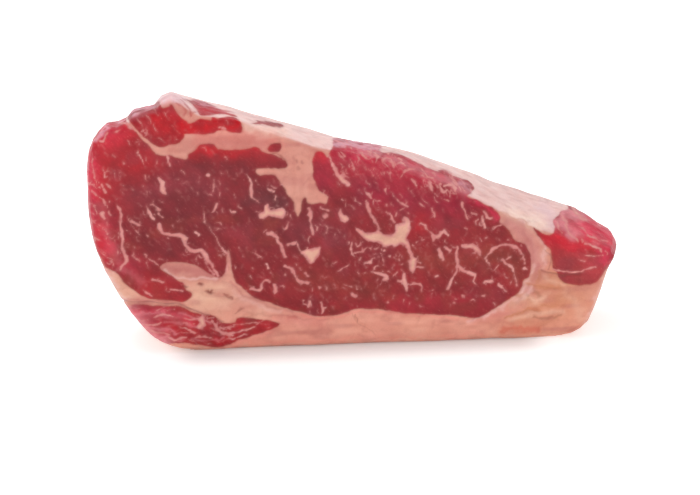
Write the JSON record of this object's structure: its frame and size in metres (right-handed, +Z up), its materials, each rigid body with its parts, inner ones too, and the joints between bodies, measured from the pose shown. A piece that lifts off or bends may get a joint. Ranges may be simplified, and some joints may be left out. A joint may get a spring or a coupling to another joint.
{
  "type": "raw beef strip loin steak",
  "caption": "Thick raw beef strip loin steak standing on its flat fat edge, with a marbled eye, a thin tail end and a fat seam.",
  "frame": {"origin": "on the surface the steak stands on, in the middle of its box", "axes": "+X along the steak from its thick end to its thin tail end, +Y from the cut face shown to the far cut face, +Z up"},
  "size_m": [0.2024, 0.0332, 0.1023],
  "materials": {
    "raw_beef": "moist, satin"
  },
  "bodies": {
    "root": {"steak": "raw_beef"}
  },
  "joints": []
}
